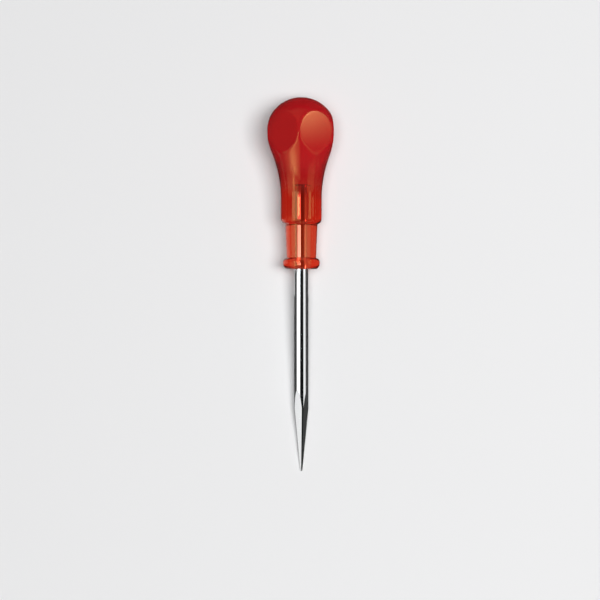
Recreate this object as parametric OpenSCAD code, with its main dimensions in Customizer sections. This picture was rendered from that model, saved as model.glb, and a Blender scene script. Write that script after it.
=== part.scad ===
// Hand reamer: a moulded pear handle on a round steel blade with a four-sided tapered point.
// The tool lies along Y, handle towards +Y and point towards -Y, with a ridge of the bulb facing +Z.
// The origin is on the tool's axis, in the flat lower face of the handle's flange. Millimetres.

/* [Handle] */
// Length of the handle from the flange's lower face to the crown
handle_l = 98; // [92:1:110]
// Diameter of the round bulb
bulb_d = 40; // [38:0.5:46]
// Diameter of the waist below the bulb
waist_d = 23.2; // [22:0.2:26]
// Radius of the hollow flare that joins the bulb to the waist
flare_r = 72; // [40:1:90]
// Rounding of the shoulder at the waist's lower end
shoulder_round = 3; // [1.5:0.1:3.5]

/* [Finger flats] */
// Number of flats around the bulb
flat_count = 5; // [4:1:6]
// Distance of each flat from the tool's axis
flat_off = 16.3; // [15.5:0.1:19]

/* [Neck and flange] */
// Length of the neck between the flange and the shoulder
neck_l = 19.2; // [15:0.2:21]
// Diameter of the neck at the shoulder
neck_top_d = 18.4; // [17.4:0.1:20]
// Diameter of the neck at the flange
neck_low_d = 16.8; // [15:0.1:18]
// Diameter of the flange
flange_d = 21; // [20:0.5:26]
// Height of the flange
flange_h = 6.4; // [6:0.1:9]
// Rounding of the flange's lower rim
flange_low_round = 3.2; // [1:0.1:3.6]
// Rounding of the flange's upper rim
flange_top_round = 2.3; // [1:0.1:2.8]

/* [Blade] */
// Diameter of the bare shank
shank_d = 8; // [7:0.1:9]
// Length of the blade outside the handle
blade_out = 115; // [95:1:140]
// Length of the tapered point
taper_l = 36; // [28:1:45]
// Diameter at the blunt end of the point
tip_d = 1.2; // [0.8:0.1:1.6]
// Height of the bevel around the blunt end
tip_bevel = 0.3; // [0.1:0.05:0.4]
// Number of ground faces on the point
face_count = 4; // [3:1:5]
// Width of the land left between two ground faces, at the head of the point
land_w = 0.9; // [0.3:0.05:1.1]
// Width of the land at the blunt end
land_tip_w = 0.4; // [0.2:0.05:0.45]
// Diameter of the wheel that leaves the curved run-out at the head of each face
wheel_d = 380; // [150:10:400]
// Length of each flat face beyond the taper, before its run-out begins
face_lead = 3.5; // [0.5:0.1:4]
// Turn of the blade in the handle, measured from the ridge to the nearest cutting edge
blade_turn = 15; // [0:1:89]

/* [Tang] */
// Length of the tang inside the handle
tang_l = 48.5; // [35:0.5:60]
// Step from the shank down to the tang
tang_step = 0.2; // [0.2:0.01:0.3]
// Radial gap between the tang and its hole, nothing for a handle moulded on the tang
tang_gap = 0; // [0:0.01:0.05]
// Bevel around the mouth of the tang's hole, which keeps the flange's face clear of the shank
mouth_bevel = 0.5; // [0.4:0.05:1]
// Bevel at the tang's end
tang_bevel = 0.8; // [0.3:0.1:1]
// Diameter of each pressed rib that stops the tang from turning
rib_d = 1.2; // [0.8:0.1:1.8]
// Length of each rib
rib_l = 5; // [3:0.5:8]
// Distance of the ribs from the tang's end
rib_set = 1.2; // [1:0.1:6]
// Half the angle between the two ribs of a pair
rib_half_angle = 40; // [30:1:60]

/* [Hidden] */
$fn = 96;
bulb_r = bulb_d / 2;
bulb_z = handle_l - bulb_r;
waist_r = waist_d / 2;
// The flare's arc meets the waist upright at flare_z and runs into the bulb without a kink at join_z
flare_z = bulb_z - sqrt((bulb_r - waist_r) * (bulb_r + waist_r + 2 * flare_r));
join_share = flare_r / (bulb_r + flare_r);
join_z = flare_z + join_share * (bulb_z - flare_z);
join_r = (waist_r + flare_r) * (1 - join_share);
flare_spare = 1;
shoulder_z = flange_h + neck_l;
neck_slope = (neck_top_d - neck_low_d) / 2 / neck_l;
neck_end_z = shoulder_z + shoulder_round;
neck_end_r = neck_top_d / 2 + neck_slope * shoulder_round;
shank_r = shank_d / 2;
shank_l = blade_out - taper_l;
tang_r = shank_r - tang_step;
tip_r = tip_d / 2;
tip_end_r = tip_r - tip_bevel;
rib_sides = [0, 180];
// Each face stands half a land clear of the corner of a full polygon, at the head and at the blunt end
face_half = 180 / face_count;
face_off = shank_r * cos(face_half) + land_w / 2 * sin(face_half);
face_tip_off = tip_r * cos(face_half) + land_tip_w / 2 * sin(face_half);
face_tilt = atan((face_off - face_tip_off) / (taper_l - tip_bevel));
wheel_r = wheel_d / 2;
cut_w = 2 * shank_d;
cut_l = 2 * taper_l;

// Lays a piece that is drawn upright, crown up, along the tool's axis
module along_y() {
    rotate([-90, 0, 0])
        children();
}

// Quarter disc that rounds a rim: side 1 rounds an upper rim, side -1 a lower one
module rim_quarter(radius, side) {
    intersection() {
        circle(r = radius);
        translate([0, side > 0 ? 0 : -radius])
            square(radius);
    }
}

// Half outline of the bulb and its flare, cut where the two arcs run into each other
module bulb_outline() {
    intersection() {
        translate([0, bulb_z])
            circle(r = bulb_r);
        translate([0, join_z])
            square([bulb_d, handle_l - join_z]);
    }
    difference() {
        translate([0, flare_z])
            square([join_r + flare_spare, join_z - flare_z]);
        translate([waist_r + flare_r, flare_z])
            circle(r = flare_r);
    }
}

// Half outline of the waist with its rounded shoulder
module waist_outline() {
    translate([0, shoulder_z + shoulder_round])
        square([waist_r, flare_z - shoulder_z - shoulder_round]);
    translate([0, shoulder_z])
        square([waist_r - shoulder_round, shoulder_round]);
    translate([waist_r - shoulder_round, shoulder_z + shoulder_round])
        rim_quarter(shoulder_round, -1);
}

// Half outline of the drafted neck
module neck_outline() {
    polygon([
        [0, flange_h],
        [neck_low_d / 2, flange_h],
        [neck_end_r, neck_end_z],
        [0, neck_end_z]
    ]);
}

// Half outline of the flange with both rims rounded
module flange_outline() {
    flange_r = flange_d / 2;
    square([flange_r - flange_low_round, flange_low_round]);
    translate([flange_r - flange_low_round, flange_low_round])
        rim_quarter(flange_low_round, -1);
    translate([0, flange_low_round])
        square([flange_r, flange_h - flange_low_round - flange_top_round]);
    translate([0, flange_h - flange_top_round])
        square([flange_r - flange_top_round, flange_top_round]);
    translate([flange_r - flange_top_round, flange_h - flange_top_round])
        rim_quarter(flange_top_round, 1);
}

// Planes that cut the finger flats, with a ridge between two of them facing up when the tool lies down
module finger_flats() {
    for (i = [0 : flat_count - 1])
        rotate([0, 0, 90 + 360 / flat_count * i])
            translate([flat_off, -bulb_r, bulb_z - bulb_r])
                cube([bulb_d, bulb_d, bulb_d]);
}

// Tang with its ribs, grown by gap all round to cut the hole that holds it
module tang(gap) {
    radius = tang_r + gap;
    cylinder(r = radius, h = tang_l - tang_bevel);
    translate([0, 0, tang_l - tang_bevel])
        cylinder(r1 = radius, r2 = radius - tang_bevel, h = tang_bevel);
    for (side = rib_sides, turn = [-rib_half_angle, rib_half_angle])
        rotate([0, 0, side + turn - 90])
            translate([tang_r, 0, tang_l - rib_set - rib_l])
                cylinder(d = rib_d + 2 * gap, h = rib_l);
}

// Hole for the tang with a bevelled mouth
module tang_hole() {
    tang(tang_gap);
    cylinder(r1 = tang_r + mouth_bevel, r2 = tang_r, h = mouth_bevel);
}

// Plane and wheel run-out that grind one face of the point
module face_cutter() {
    translate([face_off, 0, -shank_l])
        rotate([0, face_tilt, 0]) {
            translate([0, -cut_w / 2, face_lead - cut_l])
                cube([cut_w, cut_w, cut_l]);
            translate([wheel_r, 0, face_lead])
                rotate([90, 0, 0])
                    cylinder(r = wheel_r, h = cut_w, center = true);
        }
}

// Round shank, turned taper and bevelled end, before the faces are ground
module blade_blank() {
    translate([0, 0, -shank_l])
        cylinder(r = shank_r, h = shank_l);
    translate([0, 0, tip_bevel - blade_out])
        cylinder(r1 = tip_r, r2 = shank_r, h = taper_l - tip_bevel);
    translate([0, 0, -blade_out])
        cylinder(r1 = tip_end_r, r2 = tip_r, h = tip_bevel);
}

module handle() {
    color([0.72, 0.06, 0.06])
        along_y()
            difference() {
                rotate_extrude() {
                    bulb_outline();
                    waist_outline();
                    neck_outline();
                    flange_outline();
                }
                finger_flats();
                tang_hole();
            }
}

module blade() {
    color([0.78, 0.79, 0.8])
        along_y() {
            tang(0);
            difference() {
                blade_blank();
                for (i = [0 : face_count - 1])
                    rotate([0, 0, blade_turn - 90 + face_half + 2 * face_half * i])
                        face_cutter();
            }
        }
}

handle();
blade();
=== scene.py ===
import math

import bpy
from mathutils import Matrix, Vector


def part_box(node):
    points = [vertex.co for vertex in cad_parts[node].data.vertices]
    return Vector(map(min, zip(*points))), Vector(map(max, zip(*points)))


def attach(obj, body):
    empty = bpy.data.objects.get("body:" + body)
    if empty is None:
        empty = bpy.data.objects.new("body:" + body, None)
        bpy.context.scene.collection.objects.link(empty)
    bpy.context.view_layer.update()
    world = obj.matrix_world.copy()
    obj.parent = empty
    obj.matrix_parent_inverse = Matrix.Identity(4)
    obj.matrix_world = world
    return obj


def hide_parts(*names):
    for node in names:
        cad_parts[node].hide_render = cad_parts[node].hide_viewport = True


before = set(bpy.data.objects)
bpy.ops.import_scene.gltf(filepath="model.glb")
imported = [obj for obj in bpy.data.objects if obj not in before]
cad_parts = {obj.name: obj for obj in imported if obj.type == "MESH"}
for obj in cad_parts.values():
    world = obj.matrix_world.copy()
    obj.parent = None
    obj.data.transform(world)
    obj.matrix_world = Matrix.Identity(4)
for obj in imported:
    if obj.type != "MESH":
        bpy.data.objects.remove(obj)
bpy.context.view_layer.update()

# Hand reamer with a clear red handle and a bright steel blade, lying on a pale floor and seen from above
MM = 0.001


def in_mm(metres):
    """A length from the frame in millimetres, to a hundredth."""
    return round(metres / MM, 2)


# Sizes of the tool in millimetres, with heights counted from the flange's lower face.
# The frame gives how far the pieces reach, and the rest repeats the CAD's values.
handle_low, handle_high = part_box("handle")
blade_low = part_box("blade")[0]
HANDLE_L = in_mm(handle_high.y)
FLAT_OFF = in_mm(-handle_low.z)
BLADE_OUT = in_mm(-blade_low.y)
BULB_R = 20.0
WAIST_R = 11.6
FLARE_R = 72.0
FLAT_COUNT = 5
FLANGE_H = 6.4
FLANGE_R = 10.5
FLANGE_LOW_ROUND = 3.2
FLANGE_TOP_ROUND = 2.3
NECK_TOP_R = 9.2
NECK_LOW_R = 8.4
SHOULDER_Z = 25.6
SHOULDER_ROUND = 3.0
MOUTH_R = 4.3
MOUTH_H = 0.5
# The hole's wall lies just inside the tang's steel, so that plastic and steel meet without a gap
BORE_R = 3.72
BORE_L = 48.3
BULB_Z = HANDLE_L - BULB_R
FLARE_Z = BULB_Z - math.sqrt((BULB_R - WAIST_R) * (BULB_R + WAIST_R + 2 * FLARE_R))

# Soft edges that a moulding has where the CAD meets at a line: the width of the blend at the flats' rims,
# and the turn in radians and the distance between neighbours that make a crease of the outline
RIM_SOFT = 0.6
CREASE_TURN = 0.12
CREASE_REACH = 1.4
CREASE_PASSES = 3

# Spacing of the outline's points, close on the small rounds and where the flats' rims cross
FINE_STEP = 0.2
BULB_STEP = 0.27
RIM_STEP = 0.3
CROWN_STEP = 0.8
FLARE_STEP = 1.0
COARSE_STEP = 2.0
NECK_END_L = 1.2
# Heights that hold the rims of the flats between them
RIM_LOW_Z = 62.5
RIM_HIGH_Z = 91.5
# Points around the handle, and the angle between two faces above which their edge stays sharp
AROUND = 360
SHARP_ANGLE = math.radians(50)


def between(a, b, share):
    """Point at a share of the way from a to b."""
    return (a[0] + (b[0] - a[0]) * share, a[1] + (b[1] - a[1]) * share)


def line(a, b, step):
    """Points on a straight stretch of the half outline."""
    count = max(1, math.ceil(math.dist(a, b) / step))
    return [between(a, b, i / count) for i in range(count + 1)]


def arc(centre, radius, start, end, step):
    """Points on an arc of the half outline, with angles in degrees from outwards to upwards."""
    count = max(2, math.ceil(abs(math.radians(end - start)) * radius / step))
    turns = [math.radians(start + (end - start) * i / count) for i in range(count + 1)]
    return [(centre[0] + radius * math.cos(t), centre[1] + radius * math.sin(t)) for t in turns]


def joined(*stretches):
    """One outline from stretches that each start where the one before ends."""
    points = [stretches[0][0]]
    for stretch in stretches:
        points += stretch[1:]
    return points


def turn_at(a, b, c):
    """Angle by which the outline turns at b, on its way from a to c."""
    before = math.atan2(b[1] - a[1], b[0] - a[0])
    after = math.atan2(c[1] - b[1], c[0] - b[0])
    return abs((after - before + math.pi) % (2 * math.pi) - math.pi)


def soften(points):
    """Rounds creases: each pass moves a point of a crease towards its two neighbours."""
    for _ in range(CREASE_PASSES):
        moved = list(points)
        for i in range(1, len(points) - 1):
            a, b, c = points[i - 1 : i + 2]
            if turn_at(a, b, c) > CREASE_TURN and math.dist(a, c) < CREASE_REACH:
                moved[i] = ((a[0] + 2 * b[0] + c[0]) / 4, (a[1] + 2 * b[1] + c[1]) / 4)
        points = moved
    return points


def neck_side(foot, top):
    """Straight side of the neck, with points close together only at its two ends."""
    share = NECK_END_L / math.dist(foot, top)
    low = between(foot, top, share)
    high = between(top, foot, share)
    return joined(line(foot, low, FINE_STEP), line(low, high, COARSE_STEP), line(high, top, FINE_STEP))


def lower_outline():
    """Half outline from the hole's mouth over the flange and the neck to the shoulder."""
    low_c = (FLANGE_R - FLANGE_LOW_ROUND, FLANGE_LOW_ROUND)
    top_c = (FLANGE_R - FLANGE_TOP_ROUND, FLANGE_H - FLANGE_TOP_ROUND)
    shoulder_c = (WAIST_R - SHOULDER_ROUND, SHOULDER_Z + SHOULDER_ROUND)
    # the flange's upper rim and the shoulder stop where they run into the neck
    rim_stop = math.degrees(math.acos((NECK_LOW_R - top_c[0]) / FLANGE_TOP_ROUND))
    shoulder_start = -math.degrees(math.acos((NECK_TOP_R - shoulder_c[0]) / SHOULDER_ROUND))
    top_rim = arc(top_c, FLANGE_TOP_ROUND, 0, rim_stop, FINE_STEP)
    shoulder = arc(shoulder_c, SHOULDER_ROUND, shoulder_start, 0, FINE_STEP)
    return joined(
        line((BORE_R, MOUTH_H), (MOUTH_R, 0), FINE_STEP),
        line((MOUTH_R, 0), (low_c[0], 0), FINE_STEP),
        arc(low_c, FLANGE_LOW_ROUND, -90, 0, FINE_STEP),
        line((FLANGE_R, FLANGE_LOW_ROUND), (FLANGE_R, top_c[1]), FINE_STEP),
        top_rim,
        neck_side(top_rim[-1], shoulder[0]),
        shoulder,
    )


def upper_outline():
    """Half outline from the shoulder over the waist, the flare and the bulb to the crown."""
    flare_c = (WAIST_R + FLARE_R, FLARE_Z)
    bulb_c = (0, BULB_Z)
    # the flare runs into the bulb where the line between their centres crosses both
    join = math.degrees(math.atan2(BULB_Z - FLARE_Z, -flare_c[0]))
    rim_low = 180 - math.degrees(math.asin((RIM_LOW_Z - FLARE_Z) / FLARE_R))
    rim_high = math.degrees(math.asin((RIM_HIGH_Z - BULB_Z) / BULB_R))
    return joined(
        line((WAIST_R, SHOULDER_Z + SHOULDER_ROUND), (WAIST_R, FLARE_Z), COARSE_STEP),
        arc(flare_c, FLARE_R, 180, rim_low, FLARE_STEP),
        arc(flare_c, FLARE_R, rim_low, join, RIM_STEP),
        arc(bulb_c, BULB_R, join - 180, rim_high, BULB_STEP),
        arc(bulb_c, BULB_R, rim_high, 90, CROWN_STEP),
    )


def smooth_min(a, b, width):
    """The lesser of two values, rounded off where they come within width of each other."""
    overlap = max(width - abs(a - b), 0.0) / width
    return min(a, b) - overlap * overlap * width / 4


def cut_radius(radius, turn):
    """Radius at one turn about the axis, once the flats are cut with soft rims; one flat faces down."""
    for i in range(FLAT_COUNT):
        facing = math.cos(turn - math.pi - 2 * math.pi * i / FLAT_COUNT)
        if facing > 0:
            radius = smooth_min(radius, FLAT_OFF / facing, RIM_SOFT)
    return radius


def axis_point(radius, turn, height):
    """Point in metres: turn 0 faces up (+Z), a quarter turn faces right (+X), and heights run along +Y."""
    return (radius * math.sin(turn) * MM, height * MM, radius * math.cos(turn) * MM)


def ring_faces(low, high):
    """Faces between two rings of points, from the index of each ring's first point."""
    pairs = [(k, (k + 1) % AROUND) for k in range(AROUND)]
    return [(low + k, low + n, high + n, high + k) for k, n in pairs]


def cap_faces(ring, middle):
    """Faces from a ring of points to the point that closes it."""
    return [(ring + k, ring + (k + 1) % AROUND, middle) for k in range(AROUND)]


def handle_shape():
    """Points and faces of the handle: rings from the hole's mouth up to the crown, then the blind hole."""
    # the crown is one point instead of the outline's last ring
    half = soften(lower_outline()) + upper_outline()[1:-1]
    turns = [2 * math.pi * k / AROUND for k in range(AROUND)]
    points = [axis_point(cut_radius(radius, t), t, height) for radius, height in half for t in turns]
    last = len(points) - AROUND
    faces = []
    for ring in range(0, last, AROUND):
        faces += ring_faces(ring, ring + AROUND)
    faces += cap_faces(last, len(points))
    points.append(axis_point(0, 0, HANDLE_L))
    bore = len(points)
    points += [axis_point(BORE_R, t, BORE_L) for t in turns]
    faces += ring_faces(bore, 0)
    faces += [tuple(reversed(face)) for face in cap_faces(bore, len(points))]
    points.append(axis_point(0, 0, BORE_L))
    return points, faces


def add_mesh(name, points, faces):
    """New object of a new mesh, in the scene."""
    mesh = bpy.data.meshes.new(name)
    mesh.from_pydata(points, [], faces)
    ob = bpy.data.objects.new(name, mesh)
    bpy.context.scene.collection.objects.link(ob)
    return ob


def build_handle():
    """Smooth handle, sharp only at the blind end of its hole."""
    ob = add_mesh("clear_handle", *handle_shape())
    ob.data.validate()
    ob.data.shade_smooth()
    ob.data.set_sharp_from_angle(angle=SHARP_ANGLE)
    return ob


# Helpers for materials
def new_material(name):
    """Material with nodes, its tree and its shader."""
    mat = bpy.data.materials.new(name)
    mat.use_nodes = True
    return mat, mat.node_tree, mat.node_tree.nodes["Principled BSDF"]


def put_material(ob, mat):
    """Makes mat the only material of an object."""
    ob.data.materials.clear()
    ob.data.materials.append(mat)


def set_inputs(tree, node, values):
    """Sets a node's inputs by name or number; where the value is another node's output, links it."""
    for key, value in values.items():
        if isinstance(value, bpy.types.NodeSocket):
            tree.links.new(value, node.inputs[key])
        else:
            node.inputs[key].default_value = value


def add_node(tree, kind, values):
    """New node with its inputs set."""
    node = tree.nodes.new(kind)
    set_inputs(tree, node, values)
    return node


def math_node(tree, operation, a, b):
    """Result of an operation on two values."""
    node = add_node(tree, "ShaderNodeMath", {0: a, 1: b})
    node.operation = operation
    return node.outputs["Value"]


def total(tree, a, b):
    """Sum of two values."""
    return math_node(tree, "ADD", a, b)


def product(tree, a, b):
    """One value times another."""
    return math_node(tree, "MULTIPLY", a, b)


def rise(tree, source, start, end, top=1.0):
    """Runs smoothly from nothing, where source is start, to top, where it is end."""
    values = {"Value": source, "From Min": start, "From Max": end, "To Max": top}
    node = add_node(tree, "ShaderNodeMapRange", values)
    node.interpolation_type = "SMOOTHSTEP"
    return node.outputs["Result"]


def axes(tree, system):
    """X, Y and Z in one of the systems of coordinates that Blender gives a shader."""
    coord = tree.nodes.new("ShaderNodeTexCoord")
    split = add_node(tree, "ShaderNodeSeparateXYZ", {"Vector": coord.outputs[system]})
    return split.outputs["X"], split.outputs["Y"], split.outputs["Z"]


def noise(tree, scale, detail, stretch=None):
    """Noise fixed to the object, finer along each axis by as much as stretch says."""
    place = tree.nodes.new("ShaderNodeTexCoord").outputs["Object"]
    if stretch:
        place = add_node(tree, "ShaderNodeMapping", {"Vector": place, "Scale": stretch}).outputs["Vector"]
    node = add_node(tree, "ShaderNodeTexNoise", {"Vector": place, "Scale": scale, "Detail": detail})
    return node.outputs["Fac"]


# Noise keeps mostly between these two values
NOISE_LOW = 0.3
NOISE_HIGH = 0.7


def ranged(tree, source, low, high):
    """Noise spread over a range of values."""
    values = {"Value": source, "From Min": NOISE_LOW, "From Max": NOISE_HIGH, "To Min": low, "To Max": high}
    return add_node(tree, "ShaderNodeMapRange", values).outputs["Result"]


def colour_ramp(tree, share, stops, interpolation):
    """Colour by a share from 0 to 1; stops are (share, colour)."""
    node = add_node(tree, "ShaderNodeValToRGB", {"Fac": share})
    node.color_ramp.interpolation = interpolation
    marks = node.color_ramp.elements
    while len(marks) < len(stops):
        marks.new(1.0)
    for mark, (position, colour) in zip(marks, stops):
        mark.position = position
        mark.color = (*colour, 1)
    return node.outputs["Color"]


def mix_surface(tree, factor, no, yes):
    """Gives a material the shader no where factor is 0 and yes where it is 1."""
    mixed = add_node(tree, "ShaderNodeMixShader", {"Fac": factor, 1: no, 2: yes})
    set_inputs(tree, tree.nodes["Material Output"], {"Surface": mixed.outputs["Shader"]})


# Materials of the tool. Stops along the handle are in millimetres from the flange's face.
PLASTIC_COLOURS = (
    (24, (0.75, 0.33, 0.22)),
    (32, (0.56, 0.17, 0.12)),
    (45, (0.54, 0.13, 0.1)),
    (53, (0.57, 0.027, 0.03)),
    (70, (0.6, 0.016, 0.024)),
)
PLASTIC_CLEARNESS = ((24, 0.995), (46, 0.985), (57, 0.5))
# Fine grain that breaks up the step from clear to cloudy, and how far it reaches in millimetres
GRAIN_SCALE = 15000.0
GRAIN_REACH = 6.0
STEEL_DARKER = (0.86, 0.87, 0.88)
STEEL_PALER = (0.93, 0.935, 0.94)
# The steel's grinding lines run along the blade
LINE_STRETCH = (40, 2, 40)


def along_handle(tree, stops, grain=0.0):
    """Colour that changes along the handle; a grain shifts it up and down by as many millimetres at most."""
    _, height, _ = axes(tree, "Object")
    values = {"Value": height, "From Max": HANDLE_L * MM}
    share = add_node(tree, "ShaderNodeMapRange", values).outputs["Result"]
    if grain:
        speck = noise(tree, GRAIN_SCALE, detail=0.0)
        share = total(tree, share, ranged(tree, speck, -grain / HANDLE_L, grain / HANDLE_L))
    return colour_ramp(tree, share, [(place / HANDLE_L, colour) for place, colour in stops], "EASE")


def red_plastic():
    """Polished plastic with a faint haze, thin and clear at the neck, deep and cloudy in the bulb."""
    mat, tree, shader = new_material("red_plastic")
    clearness = [(place, (share, share, share)) for place, share in PLASTIC_CLEARNESS]
    haze = noise(tree, scale=180, detail=4)
    values = {
        "Base Color": along_handle(tree, PLASTIC_COLOURS),
        "Transmission Weight": along_handle(tree, clearness, GRAIN_REACH),
        "IOR": 1.48,
        "Specular Tint": (1.0, 0.6, 0.2, 1),
        "Roughness": ranged(tree, haze, low=0.015, high=0.05),
    }
    set_inputs(tree, shader, values)
    absorption = {"Color": (0.976, 0.23, 0.03, 1), "Density": 160}
    absorb = add_node(tree, "ShaderNodeVolumeAbsorption", absorption)
    set_inputs(tree, tree.nodes["Material Output"], {"Volume": absorb.outputs["Volume"]})
    return mat


def bright_steel():
    """Plated steel with faint grinding lines."""
    mat, tree, shader = new_material("bright_steel")
    lines = noise(tree, scale=60, detail=5, stretch=LINE_STRETCH)
    values = {
        "Metallic": 1.0,
        "Base Color": colour_ramp(tree, lines, ((0, STEEL_DARKER), (1, STEEL_PALER)), "LINEAR"),
        "Roughness": ranged(tree, lines, low=0.05, high=0.11),
    }
    set_inputs(tree, shader, values)
    return mat


# From here on, places and sizes are in metres unless a comment says otherwise
def panel(name, width, length):
    """Flat rectangle about its own middle."""
    x, y = width / 2, length / 2
    return add_mesh(name, [(-x, -y, 0), (x, -y, 0), (x, y, 0), (-x, y, 0)], [(0, 1, 2, 3)])


# The tool lies on the lower rim of the flat below, at this height in millimetres, and on its point, which
# touches the floor so many millimetres below the axis
REST_Z = 64.6
TIP_DROP = 0.45
FLOOR_SIZE = 6
FLOOR_COLOUR = (0.84, 0.84, 0.845, 1)


def floor_paint():
    """Matt and pale; what looks through the clear handle sees its colour without any shadow."""
    mat, tree, shader = new_material("floor")
    set_inputs(tree, shader, {"Base Color": FLOOR_COLOUR, "Roughness": 0.9, "Specular IOR Level": 0.1})
    path = tree.nodes.new("ShaderNodeLightPath")
    pale = add_node(tree, "ShaderNodeEmission", {"Color": FLOOR_COLOUR})
    through = path.outputs["Is Transmission Ray"]
    mix_surface(tree, through, shader.outputs["BSDF"], pale.outputs["Emission"])
    return mat


def lay_floor():
    """Floor that the tool lies on, tilted because the tool's axis stays level."""
    slope = (FLAT_OFF - TIP_DROP) / (REST_Z + BLADE_OUT)
    drop = (TIP_DROP + slope * BLADE_OUT) * MM
    floor = panel("floor", FLOOR_SIZE, FLOOR_SIZE)
    floor.matrix_world = Matrix.Translation((0, 0, -drop)) @ Matrix.Rotation(-math.atan(slope), 4, "X")
    put_material(floor, floor_paint())
    return floor


# Dark cards on the floor, seen only as reflections. Left of the neck and the flange they leave the pale
# floor bare. Each has its name, its left and right edge and its low and high edge along the tool.
CARD_REACH = 0.4
CARD_LIFT = 0.0002
CARD_COLOUR = (0.05, 0.05, 0.05, 1)
NECK_LOW = -0.015
NECK_HIGH = 0.028
CARDS = (
    ("shank_card", -CARD_REACH, CARD_REACH, -0.16, NECK_LOW),
    ("left_card", -CARD_REACH, -0.016, NECK_LOW, 0.0),
    ("neck_card", 0.008, CARD_REACH, NECK_LOW, NECK_HIGH),
    ("bulb_card", -CARD_REACH, CARD_REACH, NECK_HIGH, 2.0),
)


def lay_card(floor, name, left, right, low, high):
    """Dark card just above the floor."""
    card = panel(name, right - left, high - low)
    middle = ((left + right) / 2, (low + high) / 2, CARD_LIFT)
    card.matrix_world = floor.matrix_world @ Matrix.Translation(middle)
    mat, tree, shader = new_material(name)
    set_inputs(tree, shader, {"Base Color": CARD_COLOUR, "Specular IOR Level": 0.0})
    put_material(card, mat)
    card.visible_camera = False
    card.visible_diffuse = False
    card.visible_transmission = False
    card.visible_shadow = False


# Helpers for lamps and reflectors, which hang over the tool. Turns are the two angles in degrees between
# which the tool sees such a thing, off straight up and to the right if positive. Along is its low and high
# edge along the tool.
WHITE = (1, 1, 1)


def hang(ob, turns, along, distance):
    """Hangs a flat thing at a distance from the tool's axis, facing it."""
    middle = Matrix.Rotation(math.radians(sum(turns) / 2), 4, "Y")
    ob.matrix_world = middle @ Matrix.Translation((0, sum(along) / 2, distance))


def spread(turns, distance):
    """Width that a flat thing needs to fill its turns."""
    return 2 * distance * math.tan(math.radians(turns[1] - turns[0]) / 2)


def softbox(name, turns, along, distance, radiance):
    """Lamp that lights the floor and the cloudy plastic, and shows in nothing."""
    lamp = bpy.data.lights.new(name, "AREA")
    lamp.shape = "RECTANGLE"
    lamp.size = spread(turns, distance)
    lamp.size_y = along[1] - along[0]
    lamp.energy = radiance * math.pi * lamp.size * lamp.size_y
    ob = bpy.data.objects.new(name, lamp)
    bpy.context.scene.collection.objects.link(ob)
    hang(ob, turns, along, distance)
    ob.visible_glossy = False
    ob.visible_transmission = False


def faded(tree, place, size, first, last):
    """Share that falls to nothing at both ends of a size, over its first and its last stretch."""
    first_end = rise(tree, place, start=-size / 2, end=first - size / 2)
    last_end = rise(tree, place, start=size / 2, end=size / 2 - last)
    return product(tree, first_end, last_end)


def glow(name, width, length, radiance, fade, tint):
    """Plain light that fades out towards the left, right, low and high edge of a panel."""
    mat, tree, shader = new_material(name)
    tree.nodes.remove(shader)
    bright = add_node(tree, "ShaderNodeEmission", {"Color": (*tint, 1), "Strength": radiance})
    gone = tree.nodes.new("ShaderNodeBsdfTransparent")
    x, y, _ = axes(tree, "Object")
    left, right, low, high = fade
    share = product(tree, faded(tree, x, width, left, right), faded(tree, y, length, low, high))
    mix_surface(tree, share, gone.outputs["BSDF"], bright.outputs["Emission"])
    mat.cycles.emission_sampling = "NONE"
    return mat


def reflector(name, turns, along, distance, radiance, fade, tint=WHITE, outside=True, inside=True):
    """Panel that shows only as a reflection: outside says whether it shows on outer surfaces, and inside
    whether it shows through the clear plastic."""
    width = spread(turns, distance)
    length = along[1] - along[0]
    ob = panel(name, width, length)
    hang(ob, turns, along, distance)
    put_material(ob, glow(name, width, length, radiance, fade, tint))
    ob.visible_camera = False
    ob.visible_diffuse = False
    ob.visible_shadow = False
    ob.visible_glossy = outside
    ob.visible_transmission = inside


# Stretches along the tool that panels hang over, where one for the blade meets one for the handle, and the
# fade of a crisp edge
SPLIT_Y = 0.01
WAIST_END_Y = 0.1
ALONG_STEEL = (-0.16, SPLIT_Y)
ALONG_TANG = (SPLIT_Y, WAIST_END_Y)
CRISP = 0.004


def hang_steel_reflectors():
    """Pale stripes down the blade."""
    reflector("left_box", turns=(-78, -13), along=ALONG_STEEL, distance=0.6, radiance=1.25,
              fade=(0.06, CRISP, 0.06, CRISP))
    reflector("left_line", turns=(-46, -28), along=ALONG_STEEL, distance=0.55, radiance=4.6,
              fade=(0.07, 0.07, 0.06, CRISP))
    reflector("right_box", turns=(37, 81), along=(-0.3, 0.016), distance=0.6, radiance=0.9,
              fade=(0.01, 0.1, 0.18, CRISP))


def hang_far_reflectors():
    """What the ground faces and the flare see beyond the point."""
    reflector("flare_box", turns=(-88, 2), along=(-0.8, -0.1), distance=0.58, radiance=1.6,
              fade=(0.65, 0.2, 0.25, 0.06))
    reflector("flare_line", turns=(-58, -8), along=(-0.6, -0.1), distance=0.55, radiance=5.8,
              fade=(0.25, 0.25, 0.42, 0.06))


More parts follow.
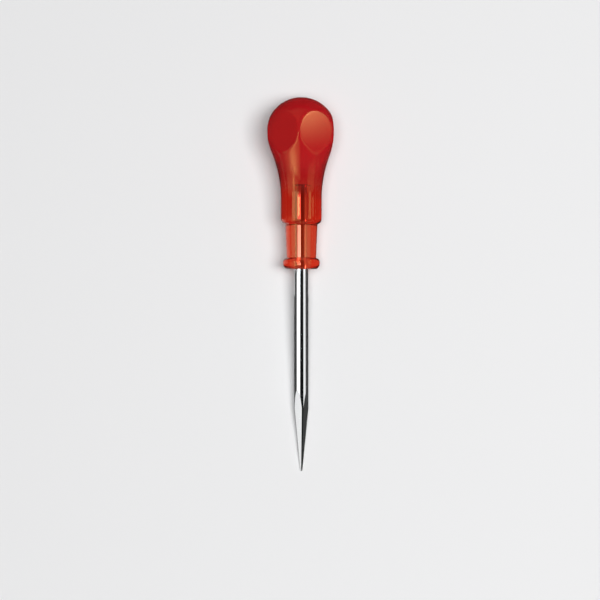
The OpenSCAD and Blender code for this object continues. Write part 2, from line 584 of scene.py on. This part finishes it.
def hang_handle_reflectors():
    """Gloss on the neck and the waist, and in the bulb's right flat."""
    reflector("left_core", turns=(-51, -13), along=ALONG_TANG, distance=0.55, radiance=4.4,
              fade=(0.06, CRISP, CRISP, 0.01), tint=(0.85, 1.1, 1.3), inside=False)
    reflector("left_tail", turns=(-78, -45), along=(SPLIT_Y, 0.075), distance=0.6, radiance=1.3,
              fade=(0.06, 0.06, CRISP, 0.065))
    reflector("waist_edge", turns=(-17, -5), along=(0.04, WAIST_END_Y), distance=0.54, radiance=14.0,
              fade=(0.03, CRISP, 0.01, 0.01), tint=(0.9, 1.0, 1.1), inside=False)
    reflector("right_mid", turns=(44, 66), along=ALONG_TANG, distance=0.6, radiance=3.4,
              fade=(0.05, 0.1, CRISP, 0.02), inside=False)
    reflector("waist_side", turns=(64, 84), along=(0.035, WAIST_END_Y), distance=0.6, radiance=2.0,
              fade=(0.06, 0.1, 0.03, 0.02), inside=False)
    reflector("right_high", turns=(58, 71), along=(0.105, 0.25), distance=0.6, radiance=17.0,
              fade=(0.05, 0.055, 0.08, 0.05))


def hang_tang_reflectors():
    """What the tang shows through the plastic: cool stripes on both sides of a dim, warm middle."""
    reflector("left_tang", turns=(-51, -5), along=ALONG_TANG, distance=0.55, radiance=4.4,
              fade=(0.06, CRISP, CRISP, 0.01), tint=(0.5, 1.2, 1.7), outside=False)
    reflector("left_edge", turns=(-17, -5), along=ALONG_TANG, distance=0.54, radiance=7.5,
              fade=(0.03, CRISP, CRISP, 0.01), tint=(0.5, 1.05, 1.4), outside=False)
    reflector("right_tang", turns=(44, 84), along=ALONG_TANG, distance=0.6, radiance=2.0,
              fade=(0.1, 0.1, CRISP, 0.02), tint=(0.5, 0.85, 0.7), outside=False)
    reflector("low_strip", turns=(-88, -52), along=ALONG_TANG, distance=0.5, radiance=0.75,
              fade=(0.02, 0.03, CRISP, 0.01), tint=(0.6, 1.0, 1.3), outside=False)
    reflector("gap", turns=(-5, 48), along=(-0.1, 0.2), distance=0.5, radiance=0.2,
              fade=(CRISP, 0.18, 0.01, 0.01), tint=(1.6, 0.7, 0.2), outside=False)


# World: how bright it is straight over the tool, and to a ray that the clear plastic lets through
OVERHEAD_GLOW = 0.006
THROUGH_GLOW = 0.6
SKY_COLOUR = (0.9, 0.93, 1.0, 1)


def sky_glow(tree):
    """Brightness by direction: some on the crown's side, most of it on the left, and some beyond the point,
    most of it low down; dark elsewhere."""
    x, y, z = axes(tree, "Generated")
    crown_side = rise(tree, y, start=0.02, end=0.08, top=0.22)
    past_crown = rise(tree, y, start=0.3, end=0.55, top=0.28)
    to_left = rise(tree, x, start=0.35, end=-0.25)
    above = rise(tree, z, start=0.0, end=0.3)
    crown = product(tree, total(tree, crown_side, product(tree, to_left, past_crown)), above)
    point_side = rise(tree, y, start=-0.35, end=-0.6, top=0.15)
    past_point = rise(tree, y, start=-0.3, end=-0.55)
    low_down = rise(tree, z, start=0.45, end=0.1, top=0.2)
    point = total(tree, point_side, product(tree, past_point, low_down))
    return total(tree, total(tree, crown, point), OVERHEAD_GLOW)


def either(tree, factor, no, yes):
    """Value no where factor is 0 and yes where it is 1."""
    return add_node(tree, "ShaderNodeMix", {"Factor": factor, "A": no, "B": yes}).outputs["Result"]


def make_world():
    """Pale to what the clear handle lets through; the floor takes its light from the lamps alone."""
    world = bpy.data.worlds.new("world")
    bpy.context.scene.world = world
    world.use_nodes = True
    tree = world.node_tree
    path = tree.nodes.new("ShaderNodeLightPath")
    seen = either(tree, path.outputs["Is Transmission Ray"], sky_glow(tree), THROUGH_GLOW)
    seen = either(tree, path.outputs["Is Diffuse Ray"], seen, 0.0)
    set_inputs(tree, tree.nodes["Background"], {"Color": SKY_COLOUR, "Strength": seen})


# Camera straight over the tool's axis, turned about it so that the ridge sits left of the middle.
# The aim is the point that the middle of the picture shows.
VIEW_TURN = math.radians(4.2)
VIEW_DISTANCE = 1.2
CLIP_END = 20
AIM_RIGHT = -0.00074
AIM_Y = -0.0175
SENSOR_MM = 36
IMAGE_PX = 600
MM_PER_PX = 0.57


def place_camera():
    """Camera at the photograph's view and scale."""
    back = Vector((math.sin(VIEW_TURN), 0, math.cos(VIEW_TURN)))
    right = Vector((math.cos(VIEW_TURN), 0, -math.sin(VIEW_TURN)))
    place = Matrix((right, (0, 1, 0), back)).transposed().to_4x4()
    place.translation = right * AIM_RIGHT + Vector((0, AIM_Y, 0)) + back * VIEW_DISTANCE
    camera = bpy.data.objects.new("camera", bpy.data.cameras.new("camera"))
    camera.matrix_world = place
    camera.data.sensor_width = SENSOR_MM
    camera.data.lens = SENSOR_MM * VIEW_DISTANCE / (IMAGE_PX * MM_PER_PX * MM)
    camera.data.clip_end = CLIP_END
    bpy.context.scene.collection.objects.link(camera)
    bpy.context.scene.camera = camera


handle = build_handle()
put_material(handle, red_plastic())
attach(handle, "root")
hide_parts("handle")

blade = bpy.data.objects["blade"]
put_material(blade, bright_steel())

floor = lay_floor()
for card in CARDS:
    lay_card(floor, *card)

# A key lamp from the right, which throws the shadow to the left, and a fill from above
softbox("key", turns=(12, 36), along=(-0.55, 0.55), distance=3.0, radiance=12.4)
softbox("fill", turns=(-12, 12), along=(-0.75, 0.75), distance=3.0, radiance=7.25)
hang_steel_reflectors()
hang_far_reflectors()
hang_handle_reflectors()
hang_tang_reflectors()
make_world()
place_camera()
bpy.context.scene.view_settings.view_transform = "Standard"
